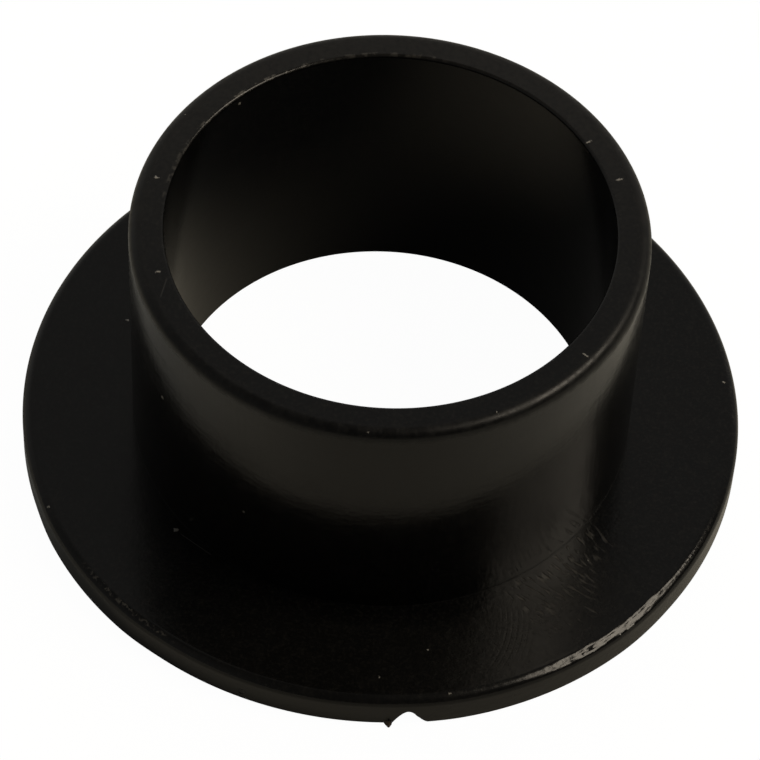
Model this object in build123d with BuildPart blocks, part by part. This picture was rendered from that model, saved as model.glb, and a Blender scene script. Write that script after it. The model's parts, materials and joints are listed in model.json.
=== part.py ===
"""Flanged pedal bushing: a plain sleeve standing on a thin round flange, moulded in one piece.

Millimetres, +Z up. The origin is the centre of the flange's flat underside, and the bore runs
along Z. The gate scar faces the front, which is -Y.
"""

import math
import os

from build123d import *

# Sleeve: the pedal shaft turns in its bore, and its outside presses into the pedal's hub
bore_diameter = 16.0
sleeve_wall = 1.25
overall_height = 11.6

# Flange: the thrust face between the hub and the bracket beside it
flange_diameter = 26.7
flange_thickness = 1.35

# Edge breaks left by the mould
nose_radius = 0.35
mouth_break = 0.1
bore_lead_in = 0.3
flange_top_radius = 0.25
flange_bottom_radius = 0.1
root_radius = 0.15

# Gate scar: where the runner tore away it left an arched notch in the rim's lower edge, steep on
# the left, with a pointed burr at that foot
gate_angle = 7.1  # degrees round from the front, towards +X
notch_width = 1.3
notch_height = 0.7
notch_depth = 0.7
notch_left_slope = 62.0  # degrees
notch_right_slope = 30.0  # degrees
burr_offset = 0.14  # from the notch's foot to the burr's point
burr_width = 0.5
burr_height = 0.4
burr_reach = 0.3
burr_tip_radius = 0.05
burr_root = 0.15  # how deep the burr is rooted in the rim
burr_taper = 12.0  # degrees, it thins upwards

bore_radius = bore_diameter / 2
sleeve_radius = bore_radius + sleeve_wall
flange_radius = flange_diameter / 2

# Plane on the rim at the gate: it faces out, with its own x round the rim and its y up
outward = Vector(0, -1, 0).rotate(Axis.Z, gate_angle)
around = Vector(0, 0, 1).cross(outward)
rim_at_gate = Plane(origin=outward * flange_radius, x_dir=around, z_dir=outward)
burr_foot = rim_at_gate.origin - around * (notch_width / 2 + burr_offset)
underside_at_burr = Plane(origin=burr_foot, x_dir=around, z_dir=(0, 0, 1))


def slope(degrees):
    """Unit direction that climbs at this angle, or falls where it is negative."""
    return (math.cos(math.radians(degrees)), math.sin(math.radians(degrees)))


with BuildPart() as flanged_bushing:
    # Half section, turned once about the bore's axis
    with BuildSketch(Plane.XZ):
        with BuildLine():
            Polyline(
                (bore_radius, 0),
                (flange_radius, 0),
                (flange_radius, flange_thickness),
                (sleeve_radius, flange_thickness),
                (sleeve_radius, overall_height),
                (bore_radius, overall_height),
                close=True,
            )
        make_face()
    revolve(axis=Axis.Z)

    # Rings of edges, each sorted from the bore outwards
    rings = flanged_bushing.edges().filter_by(GeomType.CIRCLE).group_by(Axis.Z)
    underside, shoulder, mouth = [ring.sort_by(SortBy.RADIUS) for ring in rings]
    fillet(mouth[-1], nose_radius)
    chamfer(mouth[0], mouth_break)
    fillet(shoulder[-1], flange_top_radius)
    fillet(shoulder[0], root_radius)
    fillet(underside[-1], flange_bottom_radius)
    chamfer(underside[0], bore_lead_in)

    # Burr: a small tooth that stands out of the rim beside the notch
    with BuildSketch(underside_at_burr) as tooth:
        with BuildLine():
            Polyline(
                (-burr_width / 2, burr_root),
                (0, -burr_reach),
                (burr_width / 2, burr_root),
                close=True,
            )
        make_face()
        fillet(tooth.vertices().sort_by(Axis.Y)[0], burr_tip_radius)
    extrude(amount=burr_height, taper=burr_taper)

    # Notch: an arch that opens through the underside
    with BuildSketch(rim_at_gate):
        with BuildLine():
            arch = Spline(
                (-notch_width / 2, 0),
                (0, notch_height),
                (notch_width / 2, 0),
                tangents=[slope(notch_left_slope), slope(-notch_right_slope)],
            )
            Line(arch @ 1, arch @ 0)
        make_face()
    extrude(amount=notch_depth, both=True, mode=Mode.SUBTRACT)

flanged_bushing.part.label = "flanged_bushing"

os.makedirs("parts", exist_ok=True)
export_step(flanged_bushing.part, "parts/flanged_bushing.step")
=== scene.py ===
import json
import math
import random

import bmesh
import bpy
from mathutils import Matrix, Vector
from mathutils.geometry import interpolate_bezier


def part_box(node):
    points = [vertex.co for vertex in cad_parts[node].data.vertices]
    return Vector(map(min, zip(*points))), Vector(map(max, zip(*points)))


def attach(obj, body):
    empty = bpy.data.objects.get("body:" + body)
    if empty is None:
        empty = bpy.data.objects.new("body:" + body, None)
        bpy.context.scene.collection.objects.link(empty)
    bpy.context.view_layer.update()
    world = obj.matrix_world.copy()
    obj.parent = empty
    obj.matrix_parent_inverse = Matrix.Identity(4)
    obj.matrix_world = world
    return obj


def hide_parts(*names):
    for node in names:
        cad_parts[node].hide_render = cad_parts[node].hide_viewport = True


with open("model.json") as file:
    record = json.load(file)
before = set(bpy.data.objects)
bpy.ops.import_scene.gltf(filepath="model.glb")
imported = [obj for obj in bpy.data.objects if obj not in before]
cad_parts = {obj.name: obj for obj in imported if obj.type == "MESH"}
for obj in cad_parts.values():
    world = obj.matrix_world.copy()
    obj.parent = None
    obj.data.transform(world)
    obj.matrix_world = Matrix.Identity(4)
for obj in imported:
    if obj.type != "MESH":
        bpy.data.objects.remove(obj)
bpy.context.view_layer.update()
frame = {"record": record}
mm = 0.001

# Flanged bushing: one injection moulding in semi-gloss black plastic, a plain sleeve standing on a
# thin round flange. It left the mould as turned shapes do, every edge slightly rounded, and the
# handling since then has dented the flange's upper edge and burnished its faces.

mounts = {mount["name"]: mount for mount in frame["record"]["mounts"]}
_, high_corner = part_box("flanged_bushing")
bore_radius = mounts["bore"]["dims"]["r_mm"] * mm
sleeve_radius = mounts["sleeve_outside"]["dims"]["r_mm"] * mm
flange_radius = high_corner.x - 0.002 * mm
flange_thickness = mounts["flange_seat"]["pos_m"][2]
sleeve_height = high_corner.z

nose_radius = 0.40 * mm
mouth_break = 0.13 * mm
bore_lead_in = 0.3 * mm
flange_top_radius = 0.35 * mm
flange_low_radius = 0.05 * mm
root_radius = 0.008 * mm

steps_round = 1600
row_spacing = 2.5 * mm
fine_row_spacing = 0.035 * mm

# Wear of the flange's upper edge: it is beaten down to a slanting facet, ragged like a rope, and
# the rim is pushed out a little there. The mouth's inner edge is nibbled.
facet_slant = math.radians(29)
facet_inset = 0.33 * mm
facet_depth = 0.03 * mm
strand_length = 0.6 * mm
strand_width = 0.11 * mm
strand_height = 0.06 * mm
strand_slant = 0.5
swelling = 0.05 * mm
shred_depth = 0.02 * mm
shred_scale = 4200.0  # per metre
shred_threshold = 0.42

# Stretches round the bore, in degrees from the front towards +X, with how much each is worn
worn_stretches = [(23, 58, 1.0), (52, 70, 0.15), (-52, -31, 0.3)]
pale_stretches = [(-54, -30, 0.7), (10, 26, 0.1), (24, 58, 0.3), (52, 70, 0.4), (84, 112, 0.15)]
swollen_stretches = [(-70, -33, 0.85), (2, 56, 1.0)]
shredded_stretches = [(-170, -112, 1.0), (-120, -92, 0.4), (166, 190, 0.4), (-190, -160, 0.4)]


def put(tree, kind, *inputs, **settings):
    """Adds a node to a tree, with its settings, and fills its inputs in order by value or link."""
    node = tree.nodes.new(kind)
    for name, value in settings.items():
        setattr(node, name, value)
    for socket, value in zip(node.inputs, inputs):
        if isinstance(value, bpy.types.Node):
            value = value.outputs[0]
        if isinstance(value, bpy.types.NodeSocket):
            tree.links.new(value, socket)
        elif value is not None:
            socket.default_value = value
    return node


def calc(tree, operation, *inputs):
    """A Math node."""
    return put(tree, "ShaderNodeMath", *inputs, operation=operation)


def times(tree, *factors):
    """Product of all the factors."""
    product = factors[0]
    for factor in factors[1:]:
        product = calc(tree, "MULTIPLY", product, factor)
    return product


def plus(tree, *terms):
    """Sum of all the terms."""
    total = terms[0]
    for term in terms[1:]:
        total = calc(tree, "ADD", total, term)
    return total


def length(tree, x, y):
    """Length of the flat vector (x, y)."""
    flat = put(tree, "ShaderNodeCombineXYZ", x, y, 0.0)
    return put(tree, "ShaderNodeVectorMath", flat, operation="LENGTH").outputs["Value"]


def fade(tree, value, start, end):
    """Rises smoothly from 0 at start to 1 at end, or falls where end is the lower one."""
    if start < end:
        return put(tree, "ShaderNodeMapRange", value, start, end, 0.0, 1.0, interpolation_type="SMOOTHSTEP")
    return put(tree, "ShaderNodeMapRange", value, end, start, 1.0, 0.0, interpolation_type="SMOOTHSTEP")


def round_the_bore(tree, position):
    """Distance from the bore's axis, degrees round from the front towards +X, and height."""
    place = put(tree, "ShaderNodeSeparateXYZ", position)
    x, y, z = place.outputs
    radius = length(tree, x, y)
    turn = calc(tree, "ARCTAN2", x, calc(tree, "MULTIPLY", y, -1.0))
    return radius, calc(tree, "DEGREES", turn), z


def share_round(tree, degrees, stretches):
    """How much a place round the bore is worn, from 0 to 1."""
    total = None
    for start, end, share in stretches:
        soft = (end - start) / 4
        rising = fade(tree, degrees, start, start + soft)
        falling = fade(tree, degrees, end, end - soft)
        stretch = calc(tree, "MULTIPLY", calc(tree, "MULTIPLY", rising, falling), share)
        total = stretch if total is None else calc(tree, "MAXIMUM", total, stretch)
    return total


def by_corner(tree, index, data_type, values):
    """Index Switch node that gives each corner of the half section its own value."""
    switch = put(tree, "GeometryNodeIndexSwitch", data_type=data_type)
    while len(switch.index_switch_items) < len(values):
        switch.index_switch_items.new()
    tree.links.new(index.outputs[0], switch.inputs[0])
    for socket, value in zip(switch.inputs[1:], values):
        if isinstance(value, bpy.types.NodeSocket):
            tree.links.new(value, socket)
        else:
            socket.default_value = value
    return switch


def turned_bushing():
    """Node tree that draws the half section, rounds its corners, turns it and wears its edge."""
    tree = bpy.data.node_groups.new("turned_bushing", "GeometryNodeTree")
    tree.is_modifier = True
    lengths = ["Bore Radius", "Sleeve Radius", "Sleeve Height", "Flange Radius", "Flange Thickness",
               "Nose Radius", "Mouth Break", "Bore Lead-in", "Flange Top Radius",
               "Flange Low Radius", "Root Radius", "Row Spacing", "Fine Row Spacing",
               "Facet Inset", "Facet Depth", "Facet Slant", "Strand Length", "Strand Width",
               "Strand Height", "Swelling", "Shred Depth"]
    for name in lengths:
        tree.interface.new_socket(name, in_out="INPUT", socket_type="NodeSocketFloat")
    tree.interface.new_socket("Steps Round", in_out="INPUT", socket_type="NodeSocketInt")
    tree.interface.new_socket("Wear Seed", in_out="INPUT", socket_type="NodeSocketFloat")
    tree.interface.new_socket("Plastic", in_out="INPUT", socket_type="NodeSocketMaterial")
    tree.interface.new_socket("Bushing", in_out="OUTPUT", socket_type="NodeSocketGeometry")
    size = put(tree, "NodeGroupInput").outputs
    bore, sleeve, height = size["Bore Radius"], size["Sleeve Radius"], size["Sleeve Height"]
    flange, seat = size["Flange Radius"], size["Flange Thickness"]

    # Half section, counterclockwise from the bore's lower end: place, rounding, steps in it.
    # The point on the flange's upper face only marks where its fine rows begin.
    fine_from = plus(tree, flange, times(tree, size["Facet Inset"], -1.6))
    corners = [
        ((bore, 0.0), size["Bore Lead-in"], 1),
        ((flange, 0.0), size["Flange Low Radius"], 3),
        ((flange, seat), size["Flange Top Radius"], 10),
        ((fine_from, seat), 0.0, 1),
        ((sleeve, seat), size["Root Radius"], 2),
        ((sleeve, height), size["Nose Radius"], 10),
        ((bore, height), size["Mouth Break"], 6),
    ]
    index = put(tree, "GeometryNodeInputIndex")
    places = [put(tree, "ShaderNodeCombineXYZ", *place).outputs[0] for place, _, _ in corners]
    points = put(tree, "GeometryNodeMeshLine", len(corners))
    outline = put(tree, "GeometryNodeSetPosition", points, None, by_corner(tree, index, "VECTOR", places))
    outline = put(tree, "GeometryNodeMeshToCurve", outline)
    outline = put(tree, "GeometryNodeSetSplineCyclic", outline, None, True)
    steps = by_corner(tree, index, "INT", [count for _, _, count in corners])
    rounding = by_corner(tree, index, "FLOAT", [radius for _, radius, _ in corners])
    outline = put(tree, "GeometryNodeFilletCurve", outline, steps, rounding, mode="POLY")

    # Straight runs are divided into rows, and the rounded corners keep their own steps
    position = put(tree, "GeometryNodeInputPosition")
    following = put(tree, "GeometryNodeOffsetPointInCurve", index, 1)
    far_end = put(tree, "GeometryNodeFieldAtIndex", position, following.outputs["Point Index"],
                  data_type="FLOAT_VECTOR")
    run = put(tree, "ShaderNodeVectorMath", position, far_end, operation="DISTANCE")
    fine = calc(tree, "COMPARE", run.outputs["Value"], times(tree, size["Facet Inset"], 0.8),
                times(tree, size["Facet Inset"], 0.4))
    spacing = put(tree, "ShaderNodeMapRange", fine, 0.0, 1.0, size["Row Spacing"], size["Fine Row Spacing"])
    rows = calc(tree, "FLOOR", calc(tree, "DIVIDE", run.outputs["Value"], spacing))
    outline = put(tree, "GeometryNodeSubdivideCurve", outline, rows)

    # Turned about the bore's axis: the section lies along the circle's outward normal
    circle = put(tree, "GeometryNodeCurvePrimitiveCircle", size["Steps Round"], None, None, None, 1.0)
    moved = put(tree, "ShaderNodeVectorMath", position, (1.0, 0.0, 0.0), operation="SUBTRACT")
    upright = put(tree, "ShaderNodeVectorMath", moved, (1.0, -1.0, 1.0), operation="MULTIPLY")
    outline = put(tree, "GeometryNodeSetPosition", outline, None, upright)
    circle = put(tree, "GeometryNodeSetCurveNormal", circle, None, mode="Z_UP")
    body = put(tree, "GeometryNodeCurveToMesh", circle, outline)

    body = put(tree, "GeometryNodeFlipFaces", body)
    body = put(tree, "GeometryNodeMergeByDistance", body, None, 1e-6)

    # Facet: whatever stands over a slanting plane, or over the strands along it, is beaten down
    x, y, _ = put(tree, "ShaderNodeSeparateXYZ", position).outputs
    radius, degrees, z = round_the_bore(tree, position)
    worn = share_round(tree, degrees, worn_stretches)
    arc = times(tree, calc(tree, "RADIANS", degrees), flange)
    along = calc(tree, "DIVIDE", arc, size["Strand Length"])
    across = plus(tree, calc(tree, "DIVIDE", calc(tree, "SUBTRACT", radius, z), size["Strand Width"]),
                  times(tree, along, strand_slant))
    lengthways = put(tree, "ShaderNodeCombineXYZ", along, across, size["Wear Seed"])
    strands = put(tree, "ShaderNodeTexNoise", lengthways, None, 1.0, 1.0, 0.5)
    ragged = times(tree, calc(tree, "SUBTRACT", strands, 0.5), size["Strand Height"])
    spared = plus(tree, times(tree, calc(tree, "SUBTRACT", 1.0, worn), size["Facet Depth"]),
                  times(tree, ragged, worn))
    sine, cosine = calc(tree, "SINE", size["Facet Slant"]), calc(tree, "COSINE", size["Facet Slant"])
    inner_foot = calc(tree, "SUBTRACT", flange, size["Facet Inset"])
    above = plus(tree, times(tree, calc(tree, "SUBTRACT", radius, inner_foot), sine),
                 times(tree, calc(tree, "SUBTRACT", z, seat), cosine))
    over = calc(tree, "MAXIMUM", calc(tree, "SUBTRACT", above, spared), 0.0)
    on_flange = calc(tree, "LESS_THAN", z, times(tree, seat, 1.01))
    beaten = times(tree, over, on_flange, -1.0)
    out_x, out_y = calc(tree, "DIVIDE", x, radius), calc(tree, "DIVIDE", y, radius)
    upwards = put(tree, "ShaderNodeCombineXYZ", times(tree, out_x, sine), times(tree, out_y, sine), cosine)
    push = put(tree, "ShaderNodeVectorMath", upwards, None, None, beaten, operation="SCALE")
    body = put(tree, "GeometryNodeSetPosition", body, None, None, push)

    # Rim pushed outwards beside the facet
    swollen = times(tree, share_round(tree, degrees, swollen_stretches), size["Swelling"])
    rim_share = put(tree, "ShaderNodeMapRange", radius, sleeve, flange, 0.0, 1.0,
                    interpolation_type="SMOOTHSTEP")
    outwards = put(tree, "ShaderNodeCombineXYZ", out_x, out_y, 0.0)
    push = put(tree, "ShaderNodeVectorMath", outwards, None, None, times(tree, swollen, rim_share),
               operation="SCALE")
    body = put(tree, "GeometryNodeSetPosition", body, None, None, push)

    # Mouth's inner edge nibbled away
    from_edge = length(tree, calc(tree, "SUBTRACT", radius, bore), calc(tree, "SUBTRACT", z, height))
    reach = times(tree, size["Mouth Break"], 1.4)
    nearness = put(tree, "ShaderNodeMapRange", from_edge, 0.0, reach, 1.0, 0.0,
                   interpolation_type="SMOOTHSTEP")
    shreds = put(tree, "ShaderNodeTexNoise", position, size["Wear Seed"], shred_scale, 2.0, 0.6,
                 noise_dimensions="4D")
    torn_out = calc(tree, "MINIMUM", calc(tree, "SUBTRACT", shred_threshold, shreds), 0.0)
    lift = times(tree, torn_out, nearness, size["Shred Depth"],
                 share_round(tree, degrees, shredded_stretches))
    push = put(tree, "ShaderNodeVectorMath", put(tree, "GeometryNodeInputNormal"), None, None, lift,
               operation="SCALE")
    body = put(tree, "GeometryNodeSetPosition", body, None, None, push)

    body = put(tree, "GeometryNodeSetShadeSmooth", body)
    body = put(tree, "GeometryNodeRealizeInstances", body)
    body = put(tree, "GeometryNodeSetMaterial", body, None, size["Plastic"])
    put(tree, "NodeGroupOutput", body)
    return tree


def arch_points(width, height, left_slope, right_slope, count):
    """Outline of the notch seen from outside: up steeply on the left, down gently on the right."""
    left, apex, right = Vector((-width / 2, 0)), Vector((-0.05 * width, height)), Vector((width / 2, 0))
    reach = 0.36 * width
    up = Vector((math.cos(left_slope), math.sin(left_slope))) * reach
    down = Vector((math.cos(right_slope), -math.sin(right_slope))) * reach
    crest = Vector((0.4 * reach, 0))
    first = interpolate_bezier(left, left + up, apex - crest, apex, count)
    second = interpolate_bezier(apex, apex + crest, right - down, right, count)
    return [point.to_2d() for point in first + second[1:]]


def notch_cutter():
    """Closed solid to cut the notch with, rough as torn plastic, running radially through the rim."""
    shape = bmesh.new()
    outline = arch_points(notch_width, notch_height, notch_left_slope, notch_right_slope, 9)
    outline.append(Vector((notch_width / 2, -notch_height)))
    outline.append(Vector((-notch_width / 2, -notch_height)))
    rings = []
    for step in range(notch_steps + 1):
        depth = (2 * step / notch_steps - 1) * notch_depth
        ring = []
        for across, up in outline:
            uneven = torn.uniform(-1, 1) * torn_roughness
            spot = rim_at_gate + around * (across + uneven) + outward * depth
            ring.append(shape.verts.new(spot + Vector((0, 0, up + uneven))))
        rings.append(ring)
    close_rings(shape, rings)
    return solid("notch_cutter", shape)


def burr_tooth():
    """Closed solid of the burr: a small tooth that stands out of the rim and thins upwards."""
    shape = bmesh.new()
    rings = []
    for up, share in burr_levels:
        ring = []
        for across, out in burr_outline:
            spot = rim_at_gate - around * (notch_width / 2 + burr_offset)
            spot = spot + around * across * burr_width / 2 * share + outward * out * burr_reach * share
            ring.append(shape.verts.new(spot + Vector((0, 0, up * burr_height))))
        rings.append(ring)
    close_rings(shape, rings)
    return solid("burr_tooth", shape)


def close_rings(shape, rings):
    """Joins rings of vertices into a closed skin with a flat face at each end."""
    for ring, further in zip(rings, rings[1:]):
        for corner in range(len(ring)):
            after = (corner + 1) % len(ring)
            shape.faces.new((ring[corner], ring[after], further[after], further[corner]))
    shape.faces.new(rings[0])
    shape.faces.new(rings[-1])
    bmesh.ops.recalc_face_normals(shape, faces=shape.faces)


def solid(name, shape):
    """Object made of a bmesh, in the bushing's plastic."""
    mesh = bpy.data.meshes.new(name)
    shape.to_mesh(mesh)
    shape.free()
    mesh.materials.append(plastic)
    made = bpy.data.objects.new(name, mesh)
    bpy.context.scene.collection.objects.link(made)
    return made


plastic = bpy.data.materials.new("black_plastic")
plastic.use_nodes = True

# Gate scar: where the runner tore away
gate_angle = math.radians(6.95)
notch_width = 1.33 * mm
notch_height = 0.73 * mm
notch_depth = 0.7 * mm
notch_left_slope = math.radians(62)
notch_right_slope = math.radians(30)
notch_steps = 8
torn_roughness = 0.008 * mm
burr_offset = 0.115 * mm
burr_width = 0.38 * mm
burr_height = 0.22 * mm
burr_reach = 0.17 * mm
burr_outline = [(-1, -0.6), (-0.62, 0.2), (-0.2, 0.88), (0, 1), (0.2, 0.86), (0.6, 0.25), (1, -0.6)]
burr_levels = [(0.004, 1.0), (0.3, 0.86), (0.65, 0.55), (1.0, 0.1)]
torn = random.Random(5)
outward = Vector((math.sin(gate_angle), -math.cos(gate_angle), 0))
around = Vector((math.cos(gate_angle), math.sin(gate_angle), 0))
rim_at_gate = outward * flange_radius

blank = bpy.data.meshes.new("bushing_blank")
bushing = bpy.data.objects.new("bushing_moulding", blank)
bpy.context.scene.collection.objects.link(bushing)
turning = bushing.modifiers.new("turning", "NODES")
turning.node_group = turned_bushing()
turning_values = {
    "Bore Radius": bore_radius,
    "Sleeve Radius": sleeve_radius,
    "Sleeve Height": sleeve_height,
    "Flange Radius": flange_radius,
    "Flange Thickness": flange_thickness,
    "Nose Radius": nose_radius,
    "Mouth Break": mouth_break,
    "Bore Lead-in": bore_lead_in,
    "Flange Top Radius": flange_top_radius,
    "Flange Low Radius": flange_low_radius,
    "Root Radius": root_radius,
    "Row Spacing": row_spacing,
    "Fine Row Spacing": fine_row_spacing,
    "Facet Inset": facet_inset,
    "Facet Depth": facet_depth,
    "Facet Slant": facet_slant,
    "Strand Length": strand_length,
    "Strand Width": strand_width,
    "Strand Height": strand_height,
    "Swelling": swelling,
    "Shred Depth": shred_depth,
    "Steps Round": steps_round,
    "Wear Seed": 3.0,
    "Plastic": plastic,
}
for socket in turning.node_group.interface.items_tree:
    if socket.in_out == "INPUT":
        turning[socket.identifier] = turning_values[socket.name]

for tool, operation in ((burr_tooth(), "UNION"), (notch_cutter(), "DIFFERENCE")):
    scar = bushing.modifiers.new(tool.name, "BOOLEAN")
    scar.object = tool
    scar.operation = operation
    scar.solver = "EXACT"
evaluated = bushing.evaluated_get(bpy.context.evaluated_depsgraph_get())
bushing.data = bpy.data.meshes.new_from_object(evaluated)
for scar in list(bushing.modifiers):
    if scar.type == "BOOLEAN":
        bpy.data.objects.remove(scar.object)
    bushing.modifiers.remove(scar)


def settle_normals(mesh, widest):
    """Weights each corner's normal by area among faces near its own, so flat faces shade flat."""
    shape = bmesh.new()
    shape.from_mesh(mesh)
    shape.normal_update()
    areas = [face.calc_area() for face in shape.faces]
    closeness = math.cos(widest)
    normals = []
    for face in shape.faces:
        for corner in face.loops:
            total = Vector()
            for other in corner.vert.link_faces:
                if other.normal.dot(face.normal) > closeness:
                    total += other.normal * areas[other.index]
            normals.append(total.normalized())
    shape.free()
    mesh.normals_split_custom_set(normals)


settle_normals(bushing.data, math.radians(38))

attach(bushing, "root")
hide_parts("flanged_bushing")

plastic_black = (0.0016, 0.0016, 0.0017, 1)
plastic_dull = (0.0100, 0.0093, 0.0083, 1)
worn_grey = (0.080, 0.075, 0.066, 1)
# The brown one is a painted highlight on the burr's left side
burr_highlight_brown = (0.050, 0.032, 0.020, 1)
dust_pale = (0.20, 0.19, 0.17, 1)
refraction = 1.48
specular_level = 0.3

# How much each kind of patch dulls the black, and each kind of mark whitens it
fine_haze = 0.45
broad_haze = 0.2
scuffed_haze = 0.2
# The mouth face's share is painted sheen, lighter towards the back, with its mottling in it
mouth_painted_sheen = 0.75
mouth_mottling = 1.6
stroke_whitening = 0.35
swirl_whitening = 0.05
hairline_whitening = 0.15

# The finish is worked out in millimetres. How high or deep each kind of mark is:
sink_relief = 0.011
ripple_relief = 0.004
grain_relief = 0.002
drag_relief = 0.005
pitted_relief = 0.0075
worn_edge_relief = 0.010
worn_lip_relief = 0.012
dust_relief = 0.03
stroke_depth = 0.006
swirl_depth = 0.002
hairline_depth = 0.01
nick_depth = 0.06

# Roughness of the polished plastic, and what the duller places add to it
polish = 0.17
mottled_dulling = 0.10
nose_dulling = 0.14
nose_patches = 0.12
lip_dulling = 0.05
foot_dulling = 0.08
mouth_dulling = 0.04
scuff_dulling = 0.09
dust_dulling = 0.5
facet_dulling = -0.06

# Specks of dust and lint: distance from the bore's axis, degrees round from the front, height,
# half width and, for lint that lies radially, half length
specks = [
    (8.46, -71.8, 11.6, 0.06, 0.13),
    (8.55, -101.0, 11.6, 0.06, 0.13),
    (8.89, -121.5, 11.6, 0.05, 0.06),
    (8.17, 122.1, 11.6, 0.05, 0.20),
    (8.49, 108.3, 11.6, 0.05, 0.17),
    (8.74, 52.4, 11.6, 0.05, 0.18),
    (8.93, 26.3, 11.6, 0.03, 0.09),
    (9.12, -2.6, 11.55, 0.05, 0.08),
    (8.00, -134.6, 11.24, 0.09, 0.09),
    (10.22, -107.9, 1.35, 0.06, 0.11),
    (9.25, -56.6, 7.58, 0.09, 0.09),
    (12.89, 97.5, 1.35, 0.06, 0.07),
    (9.62, -48.4, 1.35, 0.11, 0.13),
    (9.25, -30.3, 4.98, 0.05, 0.05),
    (13.20, -64.7, 1.33, 0.07, 0.10),
    (11.21, 10.9, 1.35, 0.05, 0.05),
    (12.28, 2.0, 1.35, 0.04, 0.05),
    (13.14, 13.0, 1.33, 0.06, 0.06),
    (10.33, 49.0, 1.35, 0.05, 0.05),
]
hairlines = [
    (Vector((-7.07, -6.53, 1.35)), Vector((-5.84, -7.43, 1.35))),
    (Vector((-7.68, -2.85, 11.6)), Vector((-7.86, -3.80, 11.6))),
]
hairline_width = 0.035
# Lots of strokes, all measured from the front towards +X: heading, first and last degree round,
# nearest and furthest from the axis, spacing and length
stroke_lots = [
    (38, (43, 55), (9.4, 10.4), 0.13, 0.5),
    (47, (33, 46), (9.6, 11.0), 0.12, 0.5),
    (61, (33, 43), (10.8, 12.0), 0.15, 0.8),
]
swirl_centre = Vector((1.10, -9.60))
swirl_radius = 4.0
swirl_pitch = 0.19
nick_turn = -19.4
nick_level = 0.42
nick_reach = 0.16
# Brown painted highlight on the burr's left side: how far left of the notch's middle, out from the rim and
# up
burr_highlight_aside = 0.84
burr_highlight_out = 0.08
burr_highlight_level = 0.06
burr_highlight_reach = 0.19
burr_highlight_share = 0.9


def grain(tree, place, scales, detail=2.0):
    """Noise about zero, with its own scale along each axis of a place."""
    scaled = put(tree, "ShaderNodeVectorMath", place, scales, operation="MULTIPLY")
    noise = put(tree, "ShaderNodeTexNoise", scaled, None, 1.0, detail, 0.55)
    return calc(tree, "SUBTRACT", noise.outputs["Fac"], 0.5)


def within(tree, value, start, end, soft):
    """1 between start and end, falling smoothly to 0 over a soft margin outside them."""
    return times(tree, fade(tree, value, start - soft, start), fade(tree, value, end + soft, end))


def from_ring(tree, radius, height, ring_radius, ring_height):
    """Distance from a circle round the bore's axis."""
    return length(tree, calc(tree, "SUBTRACT", radius, ring_radius),
                  calc(tree, "SUBTRACT", height, ring_height))


def vector(tree, operation, *inputs):
    """A Vector Math node."""
    return put(tree, "ShaderNodeVectorMath", *inputs, operation=operation)


def near(tree, place, spot, reach):
    """1 at a spot, falling smoothly to 0 at this reach from it."""
    away = vector(tree, "DISTANCE", place, tuple(spot)).outputs["Value"]
    return fade(tree, away, reach, reach / 2)


def lying_near(tree, place, spot, heading, half_width, half_length):
    """1 at a spot, falling smoothly to 0 over an oval that is longest along a heading."""
    offset = vector(tree, "SUBTRACT", place, tuple(spot))
    ahead = vector(tree, "DOT_PRODUCT", offset, tuple(heading)).outputs["Value"]
    squeeze = times(tree, ahead, half_width / half_length - 1)
    squeezed = vector(tree, "SCALE", tuple(heading), None, None, squeeze)
    away = vector(tree, "LENGTH", vector(tree, "ADD", offset, squeezed)).outputs["Value"]
    return fade(tree, away, half_width, half_width / 2)


def blend(tree, share, first, second):
    """Mixes two colours, each a value or a link."""
    mix = put(tree, "ShaderNodeMix", share, data_type="RGBA")
    for socket, colour in ((mix.inputs[6], first), (mix.inputs[7], second)):
        if isinstance(colour, bpy.types.NodeSocket):
            tree.links.new(colour, socket)
        else:
            socket.default_value = colour
    return mix.outputs[2]


def stroke_marks(tree, place, radius, degrees):
    """Lots of short straight strokes side by side."""
    x, y, _ = put(tree, "ShaderNodeSeparateXYZ", place).outputs
    strokes = None
    for heading, turns, reaches, spacing, reach in stroke_lots:
        ahead = Vector((math.sin(math.radians(heading)), -math.cos(math.radians(heading))))
        lengthways = plus(tree, times(tree, x, ahead.x), times(tree, y, ahead.y))
        sideways = plus(tree, times(tree, x, -ahead.y), times(tree, y, ahead.x))
        combed = put(tree, "ShaderNodeCombineXYZ", sideways, lengthways, heading)
        lot = fade(tree, grain(tree, combed, (1 / spacing, 1 / reach, 1.0), 0.0), 0.05, 0.30)
        lot = times(tree, lot, within(tree, degrees, *turns, 4), within(tree, radius, *reaches, 0.3))
        strokes = lot if strokes is None else calc(tree, "MAXIMUM", strokes, lot)
    return strokes


def swirl_marks(tree, place):
    """A lot of fine arcs about one centre, broken up here and there."""
    x, y, _ = put(tree, "ShaderNodeSeparateXYZ", place).outputs
    from_centre = length(tree, calc(tree, "SUBTRACT", x, swirl_centre.x),
                         calc(tree, "SUBTRACT", y, swirl_centre.y))
    turns = times(tree, calc(tree, "SUBTRACT", from_centre, swirl_radius), 2 * math.pi / swirl_pitch)
    where = times(tree, within(tree, from_centre, swirl_radius - 0.1, swirl_radius + 0.4, 0.7),
                  within(tree, y, swirl_centre.y - 1.6, swirl_centre.y + 0.1, 0.6),
                  fade(tree, x, swirl_centre.x + 1.6, swirl_centre.x + 3.0))
    broken = fade(tree, grain(tree, place, (1.6, 1.6, 1.6), 2.0), -0.22, 0.06)
    return times(tree, fade(tree, calc(tree, "COSINE", turns), 0.2, 0.9), where, broken)


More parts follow.
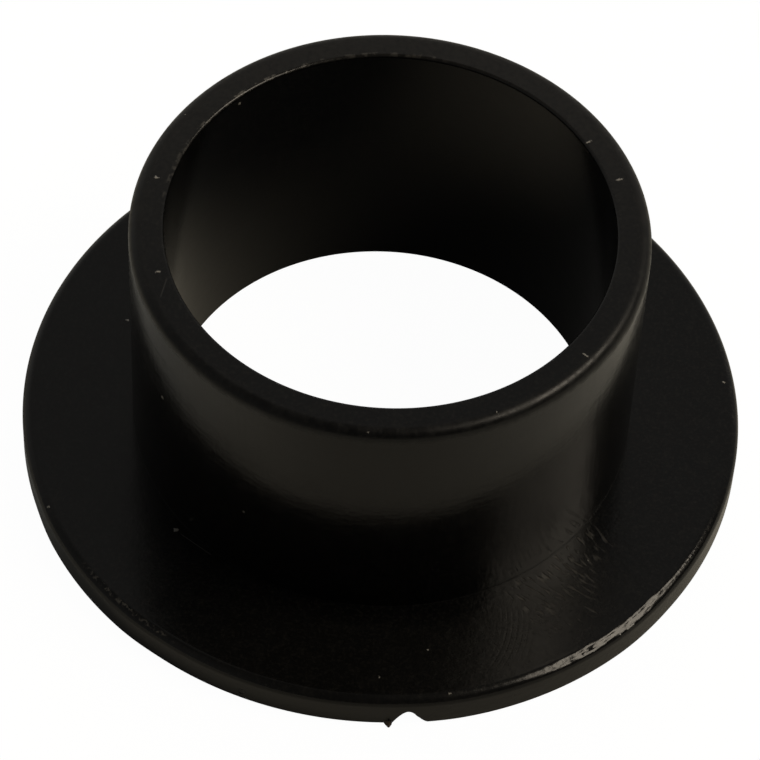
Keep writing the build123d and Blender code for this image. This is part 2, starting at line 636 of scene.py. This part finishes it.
def dust_specks(tree, place):
    """Specks with ragged outlines."""
    unevenness = put(tree, "ShaderNodeTexNoise", place, None, 11.0, 1.0, 0.5).outputs["Color"]
    unevenness = vector(tree, "MULTIPLY_ADD", unevenness, (0.14, 0.14, 0.14), (-0.07, -0.07, -0.07))
    ragged_place = vector(tree, "ADD", place, unevenness)
    dust = None
    for away, turn, level, half_width, half_length in specks:
        heading = Vector((math.sin(math.radians(turn)), -math.cos(math.radians(turn)), 0))
        spot = heading * away + Vector((0, 0, level))
        speck = lying_near(tree, ragged_place, spot, heading, half_width, half_length)
        dust = speck if dust is None else calc(tree, "MAXIMUM", dust, speck)
    return dust


def hairline_marks(tree, place):
    """Straight fine scratches that thin out towards their ends."""
    scratched = None
    for start, end in hairlines:
        ahead = (end - start).normalized()
        offset = vector(tree, "SUBTRACT", place, tuple(start))
        along = vector(tree, "DOT_PRODUCT", offset, tuple(ahead)).outputs["Value"]
        crossed = vector(tree, "CROSS_PRODUCT", offset, tuple(ahead))
        aside = vector(tree, "LENGTH", crossed).outputs["Value"]
        hairline = times(tree, fade(tree, aside, hairline_width, 0.005),
                         within(tree, along, 0.15, (end - start).length - 0.15, 0.2))
        scratched = hairline if scratched is None else calc(tree, "MAXIMUM", scratched, hairline)
    return scratched


def moulded_black(tree):
    """Finish of the plastic, in millimetres: moulding, drag marks, scuffs, worn edges and dust, with
    painted sheen on the mouth face and a painted highlight on the burr.
    """
    tree.nodes.clear()
    metres = put(tree, "ShaderNodeTexCoord").outputs["Object"]
    place = vector(tree, "MULTIPLY", metres, (1 / mm, 1 / mm, 1 / mm)).outputs[0]
    _, y, z = put(tree, "ShaderNodeSeparateXYZ", place).outputs
    radius, degrees, _ = round_the_bore(tree, place)
    bore = bore_radius / mm
    sleeve = sleeve_radius / mm
    flange = flange_radius / mm
    seat = flange_thickness / mm
    top = sleeve_height / mm
    arc = times(tree, degrees, math.radians(1) * sleeve)
    wrapped = put(tree, "ShaderNodeCombineXYZ", arc, radius, z).outputs[0]
    on_flange = times(tree, fade(tree, radius, sleeve + 0.05, sleeve + 0.15),
                      fade(tree, z, seat + 0.03, seat + 0.01))
    on_sleeve = times(tree, fade(tree, radius, sleeve - 0.05, sleeve - 0.01),
                      fade(tree, z, seat + 0.02, seat + 0.1))

    # Marks: scuffs on the flange in front of the sleeve, specks, hairlines and a nick in the rim
    strokes = times(tree, stroke_marks(tree, place, radius, degrees), on_flange)
    swirls = times(tree, swirl_marks(tree, place), on_flange)
    dust = dust_specks(tree, place)
    scratched = hairline_marks(tree, place)
    nick_angle = math.radians(nick_turn)
    nick_spot = (math.sin(nick_angle) * flange, -math.cos(nick_angle) * flange, nick_level)
    nick = near(tree, place, nick_spot, nick_reach)

    # Worn edges: the flange's upper edge and the mouth's inner edge at the back left
    from_edge = from_ring(tree, radius, z, flange - 0.17, seat)
    from_mouth = from_ring(tree, radius, z, bore + 0.09, top)
    worn_edge = times(tree, fade(tree, from_edge, 0.12, 0.05), share_round(tree, degrees, pale_stretches))
    burnished = times(tree, fade(tree, from_edge, 0.3, 0.2), share_round(tree, degrees, worn_stretches))
    picks = grain(tree, place, (7.0, 7.0, 7.0), 2.0)
    dashes = fade(tree, grain(tree, place, (3.6, 3.6, 3.6), 3.0), -0.02, 0.13)
    worn_lip = times(tree, fade(tree, from_mouth, 0.11, 0.04), dashes,
                     share_round(tree, degrees, shredded_stretches))

    # Relief: slow sink marks, ripples, fine grain, drag marks along the sleeve, then the marks
    scuffed = times(tree, within(tree, degrees, 12, 60, 12), on_flange)
    height = plus(tree,
                  times(tree, grain(tree, place, (0.45, 0.45, 0.45), 1.0), sink_relief),
                  times(tree, grain(tree, wrapped, (0.8, 0.8, 2.4), 2.0), ripple_relief),
                  times(tree, grain(tree, place, (7.0, 7.0, 7.0), 3.0), grain_relief),
                  times(tree, grain(tree, wrapped, (5.5, 0.9, 0.7), 3.0), on_sleeve, drag_relief),
                  times(tree, grain(tree, place, (3.4, 3.4, 3.4), 3.0), scuffed, pitted_relief),
                  times(tree, picks, worn_edge, worn_edge_relief),
                  times(tree, picks, worn_lip, worn_lip_relief),
                  times(tree, dust, dust_relief),
                  times(tree, strokes, -stroke_depth),
                  times(tree, swirls, -swirl_depth),
                  times(tree, scratched, -hairline_depth),
                  times(tree, nick, -nick_depth))
    bump = put(tree, "ShaderNodeBump", 1.0, mm, None, height)

    # Colour: black, dulled in patches, with painted sheen on the mouth face that grows towards the back,
    # whitened on worn edges, and a brown painted highlight on the burr's left side
    front = times(tree, within(tree, degrees, -18, 40, 20), within(tree, radius, 10.6, 13.2, 1.2),
                  on_flange)
    mottled = times(tree, grain(tree, place, (5.0, 5.0, 5.0), 3.0), mouth_mottling)
    # Painted sheen on the mouth face: lighter towards the back, mottled
    mouth = times(tree, fade(tree, z, top - 0.1, top - 0.02), fade(tree, y, -6.0, 9.0),
                  plus(tree, mottled, mouth_painted_sheen))
    haze_and_sheen = plus(tree,
                times(tree, fade(tree, grain(tree, place, (7.5, 7.5, 7.5), 2.0), -0.05, 0.25), fine_haze),
                times(tree, fade(tree, grain(tree, place, (2.2, 2.2, 2.2), 3.0), -0.05, 0.25), broad_haze),
                times(tree, front, scuffed_haze),
                mouth)
    colour = blend(tree, haze_and_sheen, plastic_black, plastic_dull)
    whitened = plus(tree,
                    times(tree, worn_edge, fade(tree, picks, -0.02, 0.16)),
                    worn_lip,
                    times(tree, strokes, stroke_whitening),
                    times(tree, swirls, swirl_whitening),
                    times(tree, scratched, hairline_whitening))
    colour = blend(tree, calc(tree, "MINIMUM", whitened, 1.0), colour, worn_grey)
    # Painted highlight in brown on the burr's left side
    burr_highlight_spot = rim_at_gate / mm - around * burr_highlight_aside + outward * burr_highlight_out
    burr_highlight_spot = burr_highlight_spot + Vector((0, 0, burr_highlight_level))
    burr_highlight = times(tree, near(tree, place, burr_highlight_spot, burr_highlight_reach), burr_highlight_share)
    colour = blend(tree, burr_highlight, colour, burr_highlight_brown)
    colour = blend(tree, dust, colour, dust_pale)

    # Gloss: dullest where the flange is scuffed, on the rounded edges and where dust lies
    from_nose = from_ring(tree, radius, z, sleeve, top)
    from_foot = from_ring(tree, radius, z, sleeve, seat)
    patchy = fade(tree, grain(tree, wrapped, (3.0, 1.0, 1.0), 3.0), -0.10, 0.12)
    scuffs = times(tree, within(tree, degrees, 5, 50, 14), within(tree, radius, 10.8, 13.0, 1.2), on_flange)
    gloss = plus(tree,
                 polish,
                 times(tree, grain(tree, place, (1.1, 1.1, 1.1), 3.0), mottled_dulling),
                 times(tree, grain(tree, place, (6.5, 6.5, 6.5), 2.0), mottled_dulling),
                 times(tree, fade(tree, from_nose, 0.6, 0.35),
                       plus(tree, times(tree, patchy, nose_patches), nose_dulling)),
                 times(tree, fade(tree, from_mouth, 0.3, 0.15), lip_dulling),
                 times(tree, fade(tree, from_foot, 0.07, 0.03), foot_dulling),
                 times(tree, fade(tree, z, top - 0.2, top - 0.02), mouth_dulling),
                 times(tree, scuffs, scuff_dulling),
                 times(tree, dust, dust_dulling),
                 times(tree, burnished, facet_dulling))

    shader = put(tree, "ShaderNodeBsdfPrincipled")
    tree.links.new(colour, shader.inputs["Base Color"])
    tree.links.new(gloss.outputs[0], shader.inputs["Roughness"])
    tree.links.new(bump.outputs[0], shader.inputs["Normal"])
    shader.inputs["IOR"].default_value = refraction
    shader.inputs["Specular IOR Level"].default_value = specular_level
    put(tree, "ShaderNodeOutputMaterial", shader)


moulded_black(plastic.node_tree)

# Table: a sheet of white paper, which the bushing stands on
table_size = 3.0
table_level = -0.02 * mm
paper_white = (0.570, 0.565, 0.520, 1)
paper_glow = 0.93
glow_strength = 1.05
glint_share = 0.01


def white_share(tree, camera_share):
    """How white a background looks to this ray: mostly to the camera, a little in reflections."""
    ray = put(tree, "ShaderNodeLightPath").outputs
    seen_in = calc(tree, "ADD", ray["Is Glossy Ray"], ray["Is Transmission Ray"])
    return plus(tree, times(tree, ray["Is Camera Ray"], camera_share), times(tree, seen_in, glint_share))


sheet = bmesh.new()
bmesh.ops.create_grid(sheet, x_segments=1, y_segments=1, size=table_size / 2)
bmesh.ops.translate(sheet, verts=sheet.verts, vec=(0, 0, table_level))
paper_mesh = bpy.data.meshes.new("table")
sheet.to_mesh(paper_mesh)
sheet.free()
table = bpy.data.objects.new("table", paper_mesh)
bpy.context.scene.collection.objects.link(table)

paper = bpy.data.materials.new("white_paper")
paper.use_nodes = True
pulp = paper.node_tree
pulp.nodes.clear()
lit = put(pulp, "ShaderNodeBsdfDiffuse", paper_white)
glow = put(pulp, "ShaderNodeEmission", (1, 1, 1, 1), glow_strength)
share = white_share(pulp, paper_glow)
put(pulp, "ShaderNodeOutputMaterial", put(pulp, "ShaderNodeMixShader", share, lit, glow))
table.data.materials.append(paper)

# Studio light: a softbox at the right, a wide low one behind the table, and a dim room that is
# darkest round the camera. The camera itself sees white behind the table's edge.
room_front = 0.05
room_back = 0.30
room_left = 0.14
room_tint = (1.0, 0.975, 0.92, 1)

room = bpy.data.worlds.new("room")
bpy.context.scene.world = room
room.use_nodes = True
air = room.node_tree
air.nodes.clear()
sideways, backwards, _ = put(air, "ShaderNodeSeparateXYZ", put(air, "ShaderNodeTexCoord")).outputs
level = plus(air, times(air, fade(air, backwards, 0.1, 0.7), room_back - room_front),
             times(air, fade(air, sideways, -0.1, -0.9), room_left), room_front)
dim = put(air, "ShaderNodeBackground", room_tint, level)
white = put(air, "ShaderNodeBackground", (1, 1, 1, 1), 1.0)
put(air, "ShaderNodeOutputWorld", put(air, "ShaderNodeMixShader", white_share(air, 1.0), dim, white))


def softbox(name, azimuth, elevation, distance, width, height, radiance, tint):
    """Rectangular area lamp facing the bushing, azimuth in degrees from the front towards +X."""
    turn, rise = math.radians(azimuth), math.radians(elevation)
    towards = Vector((math.sin(turn) * math.cos(rise), -math.cos(turn) * math.cos(rise), math.sin(rise)))
    panel = bpy.data.lights.new(name, "AREA")
    panel.shape = "RECTANGLE"
    panel.size = width
    panel.size_y = height
    panel.energy = radiance * math.pi * width * height
    panel.color = tint
    lamp = bpy.data.objects.new(name, panel)
    bpy.context.scene.collection.objects.link(lamp)
    lamp.location = towards * distance
    lamp.rotation_mode = "QUATERNION"
    lamp.rotation_quaternion = towards.to_track_quat("Z", "Y")
    lamp.visible_camera = False
    return lamp


softbox("right_softbox", 85, 51.5, 0.5, 0.28, 0.16, 8.2, (1.12, 1.0, 0.82))
back_softbox = softbox("back_softbox", 180, 15, 0.8, 0.58, 0.40, 6.8, (1.04, 1.0, 0.94))
back_softbox.visible_glossy = False

# Camera: from in front and above, as the photograph was taken, with a long lens
view_height = math.radians(52.637)
view_roll = math.radians(3.006)
camera_distance = 149.58 * mm
camera_aim = Vector((-0.093, 0.015, 2.571)) * mm
focal_length = 191.33

camera = bpy.data.objects.new("camera", bpy.data.cameras.new("camera"))
bpy.context.scene.collection.objects.link(camera)
bpy.context.scene.camera = camera
camera.data.lens = focal_length
camera.data.sensor_width = 36
camera.data.clip_start = 0.01
camera.data.clip_end = 20
tilt = Matrix.Rotation(math.pi / 2 - view_height, 4, "X") @ Matrix.Rotation(view_roll, 4, "Z")
towards_camera = Vector((0, -math.cos(view_height), math.sin(view_height)))
camera.matrix_world = Matrix.Translation(camera_aim + towards_camera * camera_distance) @ tilt

bpy.context.scene.view_settings.view_transform = "Standard"
